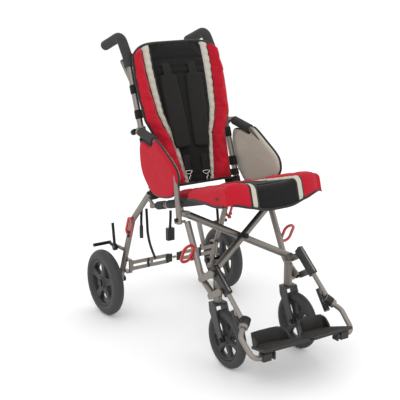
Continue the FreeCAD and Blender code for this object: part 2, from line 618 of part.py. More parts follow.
half_back = [(132, 52), (136, 195), (176, 290), (180, 455), (138, 518), (60, 536)]
full_back = half_back + [(-x, s) for x, s in reversed(half_back)]
back = back_plate(full_back, TUBE + 1.0, dim("back_thickness"))
feature("back_cushion", back)
half_harness = [(36, 100), (58, 100), (58, 395), (36, 395)]
pair("harness_pad", back_plate(half_harness, dim("back_thickness") + 1, dim("back_thickness") + 13))

# Free straps, each a plain cord: the fold pull strap and two short tails with their end fittings.
CORD_R = 5.0
FOLD_STRAP = [(-172, -150, 440), (-171, -152, 395), (-166, -146, 340), (-130, -106, 268), (-92, -71.5, 212)]
BELT_TAIL = [(-150, -285, 462), (-149, -284, 430), (-151, -282, 398)]
SIDE_TAIL = [(-184, -136, 436), (-186, -134, 404), (-185, -133, 372)]


def limp_tube(label, points):
    """Round cord along runs joined by arcs of 0.45 of the shorter run over tan of half the turn."""
    points = [Vector(*p) for p in points]
    edges, start = [], points[0]
    for before, corner, after in zip(points, points[1:], points[2:]):
        toward, away = corner - before, after - corner
        setback = 0.45 * min(toward.Length, away.Length)
        turn = toward.getAngle(away)
        radius = setback / math.tan(turn / 2)
        toward.normalize()
        away.normalize()
        first, last = corner - toward * setback, corner + away * setback
        middle = corner + (away - toward).normalize() * (radius / math.cos(turn / 2) - radius)
        edges += [Part.LineSegment(start, first).toShape(), Part.Arc(first, middle, last).toShape()]
        start = last
    edges.append(Part.LineSegment(start, points[-1]).toShape())
    path = Part.Wire(edges)
    section = Part.Wire(Part.makeCircle(CORD_R, points[0], points[1] - points[0]))
    cord = path.makePipeShell([section], True, False)
    print("%s length %.1f" % (label, path.Length))
    return feature(label, cord)


limp_tube("fold_strap", FOLD_STRAP)
limp_tube("belt_tail", BELT_TAIL)
limp_tube("side_tail", SIDE_TAIL)
buckle = doc.addObject("Part::Box", "belt_buckle")
buckle.setExpression("Length", "Dims.buckle_width")
buckle.setExpression("Width", "Dims.buckle_thickness")
buckle.setExpression("Height", "Dims.buckle_height")
buckle.Placement = SHIFT.multiply(Placement(Vector(-165, -291, 352), Rotation()))
keep(buckle)
keep(bound_cylinder("side_plug", (-185, -133, 326), Z_DIR, "plug_radius", "plug_length"))

# Side guards: padded panels that sleeve the falling run of the arm tube.
guard_outline = [(-168, 600), (-160, 690), (-205, 712), (-296, 727), (-380, 682), (-440, 644),
                 (-456, 606), (-440, 575), (-392, 548), (-262, 515), (-214, 540)]
guard = side_plate(guard_outline, 197, 223.5, 6.0).cut(swept(ARM_PATH, 10.3, 50))
pad_room = rod(tuple(pad_start), tuple(Vector(*ARM_REAR) * 0.12 + Vector(*ARM_BEND) * 0.88),
               dim("arm_pad_radius") + 0.4)
pair("hip_guard", guard.cut(pad_room))

# ---------------------------------------------------------------- check and write
doc.recompute()
for item in doc.Objects:
    if "Invalid" in item.State or "Error" in item.State:
        raise RuntimeError("failed object: " + item.Label)
os.makedirs("parts", exist_ok=True)
for item in SUBPARTS:
    shape = item.Shape
    if shape.isNull() or not shape.isValid():
        raise RuntimeError("bad shape: " + item.Label)
    shape.exportStep("parts/%s.step" % item.Label)
    bounds = shape.BoundBox
    print("%-22s solids %d volume %9.0f  y %7.1f %7.1f z %7.1f %7.1f" % (
        item.Label, len(shape.Solids), shape.Volume, bounds.YMin, bounds.YMax, bounds.ZMin, bounds.ZMax))
print("sub-parts:", len(SUBPARTS))
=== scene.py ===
import json
import math

import bmesh
import bpy
import numpy as np
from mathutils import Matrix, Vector


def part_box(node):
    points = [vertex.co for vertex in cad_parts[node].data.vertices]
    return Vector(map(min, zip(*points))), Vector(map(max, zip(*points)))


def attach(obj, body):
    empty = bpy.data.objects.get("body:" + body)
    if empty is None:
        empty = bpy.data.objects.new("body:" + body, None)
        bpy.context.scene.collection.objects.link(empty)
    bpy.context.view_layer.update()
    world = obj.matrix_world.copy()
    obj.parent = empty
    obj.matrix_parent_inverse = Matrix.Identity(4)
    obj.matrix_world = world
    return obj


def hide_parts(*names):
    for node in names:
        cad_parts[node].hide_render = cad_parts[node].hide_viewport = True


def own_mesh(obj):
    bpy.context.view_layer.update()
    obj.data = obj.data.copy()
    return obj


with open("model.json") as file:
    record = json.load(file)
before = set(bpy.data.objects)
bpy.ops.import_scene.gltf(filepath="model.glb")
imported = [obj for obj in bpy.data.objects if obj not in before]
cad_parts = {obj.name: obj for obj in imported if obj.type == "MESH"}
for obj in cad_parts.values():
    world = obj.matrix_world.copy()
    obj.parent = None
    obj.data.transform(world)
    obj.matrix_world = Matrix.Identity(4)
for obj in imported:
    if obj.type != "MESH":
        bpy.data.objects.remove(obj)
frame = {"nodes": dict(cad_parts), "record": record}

bl_info = {
    "name": "Folding push chair",
    "version": (1, 0, 0),
    "blender": (4, 5, 0),
    "location": "3D View > Sidebar > Push chair",
    "description": "Builds a folding attendant-pushed chair around its packed frame",
    "category": "Add Mesh",
}

SIDES = (("left", 1.0), ("right", -1.0))
AXLE_LOW, AXLE_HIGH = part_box("rear_axle_left")
AXLE_Y = (AXLE_LOW.y + AXLE_HIGH.y) / 2      # everything below is laid out from the rear axle
GRIP_LOW, GRIP_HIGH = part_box("push_grip_left")
GRIP_RADIUS = (GRIP_HIGH.x - GRIP_LOW.x) / 2
X_AXIS = np.array([1.0, 0.0, 0.0])
CANE, RAIL, HANGER = 183, 182, 178      # millimetres from the middle to each tube
BACK_SEAMS, SEAT_SEAMS = (22, 30, 64, 72), (24, 32, 66, 74)      # grid columns that lie on a seam
QUARTER_SPARE = 0.571      # cloth that a quarter turn takes beyond its drop, per unit of radius


def at(x, y, z):
    """A point in metres from its place in millimetres across, behind the rear axle and above the floor."""
    return np.array([x / 1000.0, y / 1000.0 + AXLE_Y, z / 1000.0])


# ------------------------------------------------------------------ materials
def linear(code):
    """Linear colour from an sRGB hex code: each channel c becomes ((c + 0.055) / 1.055) ^ 2.4."""
    channels = [int(code[i:i + 2], 16) / 255.0 for i in (1, 3, 5)]
    return [c / 12.92 if c <= 0.04045 else ((c + 0.055) / 1.055) ** 2.4 for c in channels] + [1.0]


def add(tree, kind, settings=(), links=()):
    """Adds a node; settings are (attribute or input, value), links are (input, output socket)."""
    node = tree.nodes.new(kind)
    for key, value in settings:
        if isinstance(key, str) and hasattr(node, key):
            setattr(node, key, value)
        else:
            node.inputs[key].default_value = value
    for key, socket in links:
        tree.links.new(socket, node.inputs[key])
    return node


def finish(name, colour, roughness, metallic=0.0, sheen=0.0, coat=0.0, grain=None, depth=0.0, ior=1.5):
    """A surface finish; grain is the size of its bump in millimetres and depth its height in metres."""
    material = bpy.data.materials.new(name)
    material.use_nodes = True
    tree = material.node_tree
    shader = tree.nodes["Principled BSDF"]
    for key, value in (("Base Color", linear(colour)), ("Roughness", roughness), ("Metallic", metallic),
                       ("Sheen Weight", sheen), ("Coat Weight", coat)):
        shader.inputs[key].default_value = value
    if not metallic:
        shader.inputs["IOR"].default_value = ior
    if grain:
        place = add(tree, "ShaderNodeTexCoord")
        noise = add(tree, "ShaderNodeTexNoise", [("Scale", 1000.0 / grain), ("Detail", 3.0)],
                    [("Vector", place.outputs["Object"])])
        bump = add(tree, "ShaderNodeBump", [("Distance", depth), ("Strength", 0.6)],
                   [("Height", noise.outputs["Fac"])])
        tree.links.new(bump.outputs["Normal"], shader.inputs["Normal"])
    return material


def woven(name, colour, thread, sheen=0.06):
    """Woven polyester: two crossed sets of threads as bump, and a slow mottle in its roughness."""
    material = finish(name, colour, 0.82, sheen=sheen, ior=1.3)
    tree = material.node_tree
    shader = tree.nodes["Principled BSDF"]
    place = add(tree, "ShaderNodeTexCoord")
    # Real threads are about 0.5 mm; they are drawn wider here so that the weave shows at all.
    waves = [add(tree, "ShaderNodeTexWave", [("bands_direction", way), ("Scale", 314.0 / thread)],
                 [("Vector", place.outputs["Object"])]) for way in ("X", "Z")]
    cross = add(tree, "ShaderNodeMath", [("operation", "MULTIPLY")],
                [(0, waves[0].outputs["Fac"]), (1, waves[1].outputs["Fac"])])
    bump = add(tree, "ShaderNodeBump", [("Distance", 0.0004), ("Strength", 0.5)],
               [("Height", cross.outputs[0])])
    tree.links.new(bump.outputs["Normal"], shader.inputs["Normal"])
    mottle = add(tree, "ShaderNodeTexNoise", [("Scale", 40.0)], [("Vector", place.outputs["Object"])])
    spread = add(tree, "ShaderNodeMapRange", [("To Min", 0.74), ("To Max", 0.92)],
                 [("Value", mottle.outputs["Fac"])])
    tree.links.new(spread.outputs[0], shader.inputs["Roughness"])
    return material


FINISHES = {}


def make_finishes(colours):
    """Every finish of the chair, each from its real material."""
    FINISHES.update({
        # Aluminium tube: warm silver, soft highlights; also the painted highlight strap on each hanger.
        "frame_tube": finish("Satin anodised aluminium, also painted hanger highlight", colours.tube, 0.5, metallic=1.0, grain=1.5,
                             depth=0.00003),
        # Pins and bolts: dark with a faint shine; also the painted shade in the footrest slide holes.
        "dark_steel": finish("Black oxide steel, also painted hole shade", "#1B1B1B", 0.42, metallic=0.6),
        # Fork: even dark grey, slight orange peel.
        "fork_paint": finish("Dark grey powder coat", "#2A2A2A", 0.45, coat=0.1, grain=2.0, depth=0.00005),
        # Clamps and unions: black, low gloss.
        "black_plastic": finish("Moulded black ABS", "#141414", 0.38),
        # Footplate: brown black, dull, lightly textured.
        "plate_plastic": finish("Moulded polypropylene", "#1D1A18", 0.5, grain=2.5, depth=0.0001),
        # Rims: dark grey, half matt.
        "rim_plastic": finish("Glass-filled nylon", "#1F2021", 0.48, grain=2.0, depth=0.00006),
        # Tyres: dark grey and matt.
        "tyre": finish("Solid polyurethane tyre", "#2F2F30", 0.62, grain=3.0, depth=0.0001),
        # Grips and sleeves: matt with a fine pebble.
        "foam": finish("Closed-cell foam sleeve", "#2D2D2C", 0.88, grain=2.2, depth=0.0003),
        # Tie-down loops.
        "loop_paint": finish("Red powder coat", "#B3201F", 0.38, coat=0.2),
        # Upholstery, in its three colours.
        "red_fabric": woven("Red woven polyester", colours.red, 2.4),
        "beige_fabric": woven("Silver grey reflective weave", colours.beige, 2.4, sheen=0.1),
        "black_fabric": woven("Black woven polyester", colours.black, 2.4),
        "pad_fabric": woven("Charcoal woven polyester", "#1B1A19", 2.4),
        # Webbing and edge tape: black and dull.
        "webbing": woven("Black polyester webbing", "#191918", 3.2, sheen=0.1),
        "piping": finish("Black bias tape", "#121211", 0.8, sheen=0.2),
        # Harness hardware: bright and smooth.
        "nickel": finish("Nickel-plated steel", "#C9C7C2", 0.18, metallic=1.0),
    })


# ------------------------------------------------------------------ surfaces
def smooth_line(points, count, closed=False):
    """Points on the cubic that passes through each given point with the slope of its two neighbours."""
    given = np.array(points, float)
    number = len(given)
    spans = number if closed else number - 1
    if closed:
        padded = np.vstack([given[-1], given, given[0], given[1]])
    else:
        padded = np.vstack([2 * given[0] - given[1], given, 2 * given[-1] - given[-2]])
    place = np.linspace(0, spans, count, endpoint=not closed)
    step = np.minimum(place.astype(int), spans - 1)
    t = (place - step)[:, None]
    a, b, c, d = padded[step], padded[step + 1], padded[step + 2], padded[step + 3]
    return 0.5 * (2 * b + (c - a) * t + (2 * a - 5 * b + 4 * c - d) * t ** 2
                  + (3 * b - a - 3 * c + d) * t ** 3)


def quads(rows, columns, wrap_rows=False, wrap_columns=False):
    """Corner numbers of the cells of a grid, whose last row or column may join its first."""
    i = np.arange(rows if wrap_rows else rows - 1)[:, None]
    j = np.arange(columns if wrap_columns else columns - 1)[None, :]
    i2, j2 = (i + 1) % rows, (j + 1) % columns
    cells = [i * columns + j, i * columns + j2, i2 * columns + j2, i2 * columns + j]
    return np.stack([np.broadcast_to(c, (i.shape[0], j.shape[1])) for c in cells], -1).reshape(-1, 4)


def piece(name, points, faces, materials, indices=None):
    """A mesh piece from arrays; doubles are merged and the faces are turned to point outwards."""
    mesh = bpy.data.meshes.new(name)
    mesh.from_pydata(np.asarray(points).reshape(-1, 3).tolist(), [], [list(f) for f in faces])
    for key in materials:
        mesh.materials.append(FINISHES[key])
    if indices is not None:
        mesh.polygons.foreach_set("material_index", np.asarray(indices, np.int32))
    mesh.polygons.foreach_set("use_smooth", np.ones(len(mesh.polygons), bool))
    work = bmesh.new()
    work.from_mesh(mesh)
    bmesh.ops.remove_doubles(work, verts=work.verts, dist=1e-6)
    bmesh.ops.recalc_face_normals(work, faces=work.faces)
    work.to_mesh(mesh)
    work.free()
    item = bpy.data.objects.new(name, mesh)
    bpy.context.scene.collection.objects.link(item)
    return item


def joined(name, parts, materials):
    """One piece from several (points, faces, material number) parts."""
    points, faces, indices, start = [], [], [], 0
    for part_points, part_faces, number in parts:
        flat = np.asarray(part_points).reshape(-1, 3)
        points.append(flat)
        faces += [[int(v) + start for v in face] for face in part_faces]
        indices += [number] * len(part_faces)
        start += len(flat)
    return piece(name, np.vstack(points), faces, materials, indices)


def place(item, body, slot_name, replaced=()):
    """Sets the body that a finished piece moves with and hides the nodes it stands for; slot_name is not
    used.
    """
    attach(item, body)
    if replaced:
        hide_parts(*replaced)
    return item


def fitted(name, parts, materials, body, slot_name, replaced=()):
    """A joined piece, set on its body."""
    return place(joined(name, parts, materials), body, slot_name, replaced)


def swept(path, across, up, section, closed=False):
    """A section of (across, up) offsets carried along a path; open ends are closed by fans."""
    path, section = np.asarray(path, float), np.asarray(section, float)
    if section.ndim == 2:
        section = np.broadcast_to(section, (len(path),) + section.shape)
    points = path[:, None] + across[:, None] * section[..., :1] + up[:, None] * section[..., 1:]
    rows, columns = points.shape[:2]
    faces = quads(rows, columns, closed, True).tolist()
    flat = points.reshape(-1, 3)
    if not closed:
        first, last = len(flat), len(flat) + 1
        flat = np.vstack([flat, points[0].mean(0), points[-1].mean(0)])
        ring = np.arange(columns)
        turn = np.roll(ring, -1)
        far = (rows - 1) * columns
        faces += [[first, int(b), int(a)] for a, b in zip(ring, turn)]
        faces += [[last, int(far + a), int(far + b)] for a, b in zip(ring, turn)]
    return flat, faces


def axes_along(path, reference, closed=False):
    """Across and up directions square to a path: across is the tangent crossed with the reference."""
    path = np.asarray(path, float)
    if closed:
        run = np.roll(path, -1, 0) - np.roll(path, 1, 0)
    else:
        run = np.gradient(path, axis=0)
    run /= np.linalg.norm(run, axis=1, keepdims=True)
    across = np.cross(run, np.broadcast_to(np.asarray(reference, float), run.shape))
    across /= np.linalg.norm(across, axis=1, keepdims=True)
    return across, np.cross(across, run)


def full_turn(count):
    """Equal steps of angle round a full turn."""
    return np.linspace(0, 2 * math.pi, count, endpoint=False)


def circle(radius, sides=14):
    """Section of a round bar."""
    turn = full_turn(sides)
    return np.stack([radius * np.cos(turn), radius * np.sin(turn)], 1)


def flat_band(width, thickness, sides=16):
    """Section of a flat strap with soft edges: a circle raised to a low power in each direction."""
    turn = full_turn(sides)
    c, s = np.cos(turn), np.sin(turn)
    return np.stack([width / 2 * np.sign(c) * abs(c) ** 0.35, thickness / 2 * np.sign(s) * abs(s) ** 0.5], 1)


def bar(path, radius, reference, closed=False, sides=14):
    """Round bar along a path."""
    across, up = axes_along(path, reference, closed)
    return swept(path, across, up, circle(radius, sides), closed)


def strap(path, face, width, thickness):
    """Flat webbing along a path, its broad side turned to the face direction."""
    across, up = axes_along(path, face)
    return swept(path, across, up, flat_band(width, thickness))


def turned(centre, axis, profile, sides=64):
    """A profile of (distance along, radius) points turned about an axis, closed back on itself."""
    axis = np.asarray(axis, float) / np.linalg.norm(axis)
    helper = np.array([0.0, 0.0, 1.0]) if abs(axis[2]) < 0.9 else X_AXIS
    first = np.cross(axis, helper)
    first /= np.linalg.norm(first)
    second = np.cross(axis, first)
    profile = np.asarray(profile, float)
    angle = full_turn(sides)
    around = np.cos(angle)[:, None, None] * first + np.sin(angle)[:, None, None] * second
    points = np.asarray(centre) + profile[None, :, :1] * axis + profile[None, :, 1:] * around
    return points, quads(sides, len(profile), True, True).tolist()


def rod(start, end, radius, sides=20, crown=0.0):
    """Short round bar between two points, with slightly rounded ends."""
    start, end = np.asarray(start, float), np.asarray(end, float)
    length = np.linalg.norm(end - start)
    edge = min(radius * 0.22, length * 0.25)
    profile = [(-crown, 1e-5), (0, radius - edge), (edge, radius), (length - edge, radius),
               (length, radius - edge), (length + crown, 1e-5)]
    return turned(start, end - start, profile, sides)


def inflate(item, seams, pressure, cap, looseness=0.03, frames=16):
    """Swells a closed cushion by air pressure with its seams held, and limits how far a point moves."""
    mesh = item.data
    before = np.empty(len(mesh.vertices) * 3)
    mesh.vertices.foreach_get("co", before)
    before = before.reshape(-1, 3)
    group = item.vertex_groups.new(name="seams")
    group.add([int(i) for i in np.nonzero(seams(before))[0]], 1.0, "REPLACE")
    cloth = item.modifiers.new("Pressure", "CLOTH")
    settings = cloth.settings
    settings.quality = 6
    settings.mass = 0.2
    settings.tension_stiffness = 12
    settings.compression_stiffness = 6
    settings.bending_stiffness = 0.4
    settings.use_pressure = True
    settings.uniform_pressure_force = pressure
    settings.shrink_min = -looseness
    settings.vertex_group_mass = "seams"
    settings.effector_weights.gravity = 0
    cloth.collision_settings.use_collision = False
    cloth.point_cache.frame_end = frames
    scene = bpy.context.scene
    for number in range(1, frames + 1):
        scene.frame_set(number)
    shown = item.evaluated_get(bpy.context.evaluated_depsgraph_get())
    after = np.empty(len(mesh.vertices) * 3)
    shown.data.vertices.foreach_get("co", after)
    move = after.reshape(-1, 3) - before
    far = np.linalg.norm(move, axis=1, keepdims=True)
    if not np.isfinite(far).all():
        raise RuntimeError(item.name + ": the pressure simulation did not settle")
    moved = before + move * np.minimum(1.0, cap / np.maximum(far, 1e-9))
    item.modifiers.remove(cloth)
    item.vertex_groups.remove(group)
    mesh.vertices.foreach_set("co", moved.ravel())
    mesh.update()
    scene.frame_set(1)


# ------------------------------------------------------------------ back and seat surfaces
BACK_BASE = at(0, -225, 508)
BACK_UP = np.array([0, 0.344, 0.939]) / np.linalg.norm([0.344, 0.939])
BACK_FRONT = np.array([0, -0.939, 0.344]) / np.linalg.norm([0.344, 0.939])
SEAT_BASE = at(0, -252, 478)
SEAT_RUN = np.array([0, -428.0, 127.0]) / np.linalg.norm([428.0, 127.0])
SEAT_UP = np.array([0, 127.0, 428.0]) / np.linalg.norm([428.0, 127.0])


def on_back(x, height, depth):
    """Point from millimetres across, up the canes and in front of them."""
    return (BACK_BASE + np.multiply.outer(x, X_AXIS) / 1000.0 + np.multiply.outer(height, BACK_UP) / 1000.0
            + np.multiply.outer(depth, BACK_FRONT) / 1000.0)


def on_seat(x, run, height):
    """Point from millimetres across, along the seat rails and above their centre line."""
    return (SEAT_BASE + np.multiply.outer(x, X_AXIS) / 1000.0 + np.multiply.outer(run, SEAT_RUN) / 1000.0
            + np.multiply.outer(height, SEAT_UP) / 1000.0)


def ease(value, low, high):
    """Smooth step from 0 at low to 1 at high."""
    t = np.clip((value - low) / (high - low), 0, 1)
    return t * t * (3 - 2 * t)


# Seams as shares of the half width: black centre, beige strip, red bolster, outer edge.
BACK_HEIGHTS = [20, 195, 245, 290, 380, 455, 546]
BACK_WIDTHS = [132, 142, 160, 177, 184, 186, 180]
BACK_BOTTOM, BACK_TOP, BACK_DROP = 22.0, 546.0, 44.0
BACK_RIM, BACK_LINING = 34.0, 19.6      # how far the piped edge and the rear face stand in front of the canes


def back_outline(share, v):
    """Place on the back from the share of the half width and of the height; the top edge is arched."""
    top = BACK_TOP - BACK_DROP * abs(share) ** 6
    height = BACK_BOTTOM + v * (top - BACK_BOTTOM)
    width = np.interp(BACK_BOTTOM + v * (BACK_TOP - BACK_BOTTOM), BACK_HEIGHTS, BACK_WIDTHS)
    return share * width, height


def back_seams(v):
    """Shares of the half width at the inner and outer edges of the beige strip, which narrows downwards."""
    inner = np.interp(v, [0, 0.42, 1], [0.35, 0.55, 0.60])
    return inner, inner + np.interp(v, [0, 0.42, 1], [0.11, 0.14, 0.18])


def strip_columns(inner, outer, counts):
    """Shares from edge to edge, with whole columns on every seam, and each cell's strip number."""
    stops = [-np.ones_like(inner), -outer, -inner, inner, outer, np.ones_like(inner)]
    shares, strips = [], []
    for number, (low, high, count) in enumerate(zip(stops, stops[1:], counts)):
        t = np.linspace(0, 1, count, endpoint=False)
        shares.append(low[:, None] + (high - low)[:, None] * t)
        strips += [(2, 1, 0, 1, 2)[number]] * count
    shares.append(np.ones((len(inner), 1)))
    return np.hstack(shares), np.array(strips)


def bump_between(share, inner, outer):
    """Crown of each strip: a half ellipse between its two seams, 0 on the seams and 1 midway."""
    a = abs(share)
    low = np.where(a < inner, -inner, np.where(a < outer, inner, outer))
    high = np.where(a < inner, inner, np.where(a < outer, outer, 1.0))
    t = np.clip((a - low) / (high - low), 0, 1)
    return np.sqrt(np.clip(4 * t * (1 - t), 0, 1))


def closed_pad(name, front, back, strips, materials):
    """Front and back grids whose outer rows and columns are the same points, closed into one cushion."""
    rows, columns = front.shape[:2]
    faces = quads(rows, columns)
    points = np.vstack([front.reshape(-1, 3), back.reshape(-1, 3)])
    indices = np.concatenate([np.tile(strips, rows - 1), np.zeros(len(faces), int)])
    return piece(name, points, np.vstack([faces, faces[:, ::-1] + rows * columns]), materials, indices)


# ------------------------------------------------------------------ settings and operators
class ChairColours(bpy.types.PropertyGroup):
    """Colours a user would change, as sRGB hex codes."""
    red: bpy.props.StringProperty(name="Fabric", description="Colour of the bolsters and side guards",
                                  default="#AE1025")
    beige: bpy.props.StringProperty(name="Strips", description="Colour of the strips and guard linings",
                                    default="#B9B5A8")
    black: bpy.props.StringProperty(name="Centre", description="Colour of the seat and back centres",
                                    default="#121110")
    tube: bpy.props.StringProperty(name="Tubes", description="Colour of the frame tubes", default="#8D8781")


class ChairSizes(bpy.types.PropertyGroup):
    """Sizes of the upholstery and trim."""
    crown: bpy.props.FloatProperty(name="Crown", description="Height of a padded strip over its seams",
                                   default=0.009, unit="LENGTH")
    piping: bpy.props.FloatProperty(name="Piping", description="Radius of the edge piping",
                                    default=0.0040, unit="LENGTH")
    webbing: bpy.props.FloatProperty(name="Webbing", description="Width of the harness webbing",
                                     default=0.034, unit="LENGTH")
    harness: bpy.props.FloatProperty(name="Harness pad", description="Width of a shoulder pad",
                                     default=0.070, unit="LENGTH")
    rib: bpy.props.FloatProperty(name="Rib pitch", description="Distance between the footplate ribs",
                                 default=0.0115, unit="LENGTH")


class CHAIR_OT_stage(bpy.types.Operator):
    """Adds the floor, the soft lights and the camera."""
    bl_idname = "chair.stage"
    bl_label = "Stage"

    def execute(self, context):
        scene = context.scene
        floor_finish = bpy.data.materials.new("Matt white paper")
        floor_finish.use_nodes = True
        shader = floor_finish.node_tree.nodes["Principled BSDF"]
        shader.inputs["Base Color"].default_value = linear("#F8F8F8")
        shader.inputs["Roughness"].default_value = 0.95
        shader.inputs["Specular IOR Level"].default_value = 0.1
        mesh = bpy.data.meshes.new("floor")
        half = 14.0
        corners = [(-half, -half, 0), (half, -half, 0), (half, half, 0), (-half, half, 0)]
        mesh.from_pydata(corners, [], [(0, 1, 2, 3)])
        mesh.materials.append(floor_finish)
        floor = bpy.data.objects.new("floor", mesh)
        scene.collection.objects.link(floor)
        world = bpy.data.worlds.new("White studio")
        world.use_nodes = True
        sky = world.node_tree.nodes["Background"]
        sky.inputs["Color"].default_value = (1, 1, 1, 1)
        sky.inputs["Strength"].default_value = 1.08
        scene.world = world
        for name, spot, size, power in (("key", (-2.2, -2.6, 3.2), 2.2, 34),
                                        ("fill", (2.8, -1.8, 2.4), 2.6, 10),
                                        ("back", (0.6, 3.0, 3.0), 2.4, 18)):
            data = bpy.data.lights.new(name, "AREA")
            data.size = size
            data.energy = power
            lamp = bpy.data.objects.new(name, data)
            lamp.location = spot
            lamp.rotation_euler = (Vector((0, 0, 0.5)) - Vector(spot)).to_track_quat("-Z", "Y").to_euler()
            scene.collection.objects.link(lamp)
        data = bpy.data.cameras.new("camera")
        data.lens = 84.9
        data.sensor_width = 36.0
        camera = bpy.data.objects.new("camera", data)
        camera.location = at(-1822.8, -3054.8, 1401.3)
        camera.rotation_euler = (math.radians(74.452), 0, math.radians(-32.994))
        scene.collection.objects.link(camera)
        scene.camera = camera
        scene.view_settings.view_transform = "Standard"
        return {"FINISHED"}


class CHAIR_OT_cords(bpy.types.Operator):
    """Makes the fold pull strap and the two hanging strap tails."""
    bl_idname = "chair.cords"
    bl_label = "Hanging straps"

    def execute(self, context):
        routes = (
            ("fold_strap", [(-172, -150, 440), (-171, -152, 395), (-166, -146, 340), (-130, -106, 268),
                            (-92, -71.5, 212)], 0.264, "object", "right_side", None),
            ("belt_tail", [(-150, -285, 462), (-149, -284, 430), (-151, -282, 398)], 0.0641, "connector",
             "seat_rail_right", "belt_buckle"),
            ("side_tail", [(-184, -136, 436), (-186, -134, 404), (-185, -133, 372)], 0.0641, "plug",
             "right_side", "side_plug"),
        )
        for node, route, length, far_end, body, fitting in routes:
            data = bpy.data.curves.new(node + "_webbing", "CURVE")
            data.dimensions = "3D"
            data.bevel_depth = 0.005
            data.bevel_resolution = 4
            data.use_fill_caps = True
            data.materials.append(FINISHES["webbing"])
            spline = data.splines.new("NURBS")
            spline.points.add(len(route) - 1)
            for point, spot in zip(spline.points, route):
                point.co = (*at(*spot), 1.0)
            spline.order_u = 3
            spline.use_endpoint_u = True
            spline.resolution_u = 12
            item = bpy.data.objects.new(node + "_webbing", data)
            context.scene.collection.objects.link(item)
            place(item, body, "webbing", (node,))
        return {"FINISHED"}


class CHAIR_OT_frame(bpy.types.Operator):
    """Finishes the carried-over metal and plastic, and adds bolts, clamps, bands and links."""
    bl_idname = "chair.frame"
    bl_label = "Frame"

    def execute(self, context):
        slots = {row["node"]: row["material_slot"] for row in frame["record"]["subparts"]}
        for node, item in frame["nodes"].items():
            item.data.materials.clear()
            item.data.materials.append(FINISHES[slots[node]])
        for side, sign in SIDES:
            body = side + "_side"
            bolts = []
            for y, z in ((-118, 350), (-112, 334)):
                start, end = at(sign * 228, y, z), at(sign * 232.5, y, z)
                bolts.append((*rod(start, end, 0.0062, crown=0.001), 0))
            bolts.append((*rod(at(sign * CANE, -98, 722), at(sign * CANE, -78, 714), 0.011, crown=0.002), 0))
            bolts.append((*rod(at(sign * 219, -443, 478), at(sign * 229, -443, 478), 0.007, crown=0.001), 0))
            fitted("bolt_heads_" + side, bolts, ["dark_steel"], body, "dark_steel")
            stub = [(*rod(at(sign * CANE, -80, 900), at(sign * CANE, -12, 966), 0.0095), 0),
                    (*rod(at(sign * CANE, -12, 966), at(sign * CANE, -8.5, 969.5), 0.0085), 1)]
            fitted("angle_tube_" + side, stub, ["frame_tube", "black_plastic"], body, "frame_tube")
            tongue_line = (181, 13), (168, 16.5), (150, 17.5), (118, 17.7)
            bands = []
            for height, tall in ((498, 42), (390, 34), (298, 34), (195, 38), (84, 36), (40, 26), (6, 38)):
                low, high = (on_back(sign * CANE, height + half, 0) for half in (-tall / 2, tall / 2))
                bands.append((*rod(low, high, 0.0136, sides=28), 0))
                tongue = np.stack([on_back(sign * x, height, depth) for x, depth in tongue_line])
                bands.append((*strap(smooth_line(tongue, 10), BACK_FRONT, tall * 0.92 / 1000, 0.003), 0))
            fitted("cane_bands_" + side, bands, ["webbing"], body, "webbing")
            clamp = [(*rod(on_seat(sign * RAIL, 55, 0), on_seat(sign * RAIL, 81, 0), 0.0134, sides=28), 0),
                     (*rod(on_seat(sign * 190, 68, 2), on_seat(sign * 195.8, 68, 2), 0.006, crown=0.001), 1),
                     (*rod(on_seat(sign * RAIL, -6, 0), on_seat(sign * RAIL, 0.5, 0), 0.0105,
                           crown=0.002), 1)]
            fitted("rail_clamp_" + side, clamp, ["frame_tube", "black_plastic"], "seat_rail_" + side,
                   "frame_tube")
            links = []
            for x in (34, 118):
                low, high = at(sign * (x - 4), -67.5, 178), at(sign * (x + 4), -58.5, 214)
                links.append((*block(low, high), 0))
            links.append((*block(at(sign * 12, -67, 180), at(sign * 27, -59, 212)), 0))
            fitted("bar_links_" + side, links, ["black_plastic"], "rear_bars_" + side, "black_plastic")
            tip = at(sign * CANE, 122, 1012)
            way = np.array([0, 120.0, -44.7]) / np.linalg.norm([120.0, 44.7])
            angle = np.linspace(0, math.pi / 2, 9)
            dome = np.stack([0.010 * np.sin(angle), GRIP_RADIUS * np.cos(angle) + 1e-5], 1)
            profile = np.vstack([[[-0.002, 1e-5], [-0.002, GRIP_RADIUS]], dome])
            cap = turned(tip - way * 0.0005, way, profile, 36)
            fitted("grip_end_" + side, [(*cap, 0)], ["foam"], body, "foam")
        return {"FINISHED"}


def block(low, high, edge=0.0006):
    """Box between two corners, as a four-sided section carried along its height with chamfered ends."""
    low, high = np.minimum(low, high), np.maximum(low, high)
    middle, half = (low + high) / 2, (high - low) / 2
    levels = np.array([-half[2], -half[2] + edge, half[2] - edge, half[2]])
    shrink = np.array([edge, 0.0, 0.0, edge])
    corners = np.array([[-1, -1], [1, -1], [1, 1], [-1, 1]], float)
    size = half[None, :2] - shrink[:, None]
    flat = middle[None, None, :2] + corners[None] * size[:, None]
    points = np.concatenate([flat, np.broadcast_to((middle[2] + levels)[:, None, None], (4, 4, 1))], 2)
    faces = quads(4, 4, False, True).tolist() + [[3, 2, 1, 0], [12, 13, 14, 15]]
    return points.reshape(-1, 3), faces


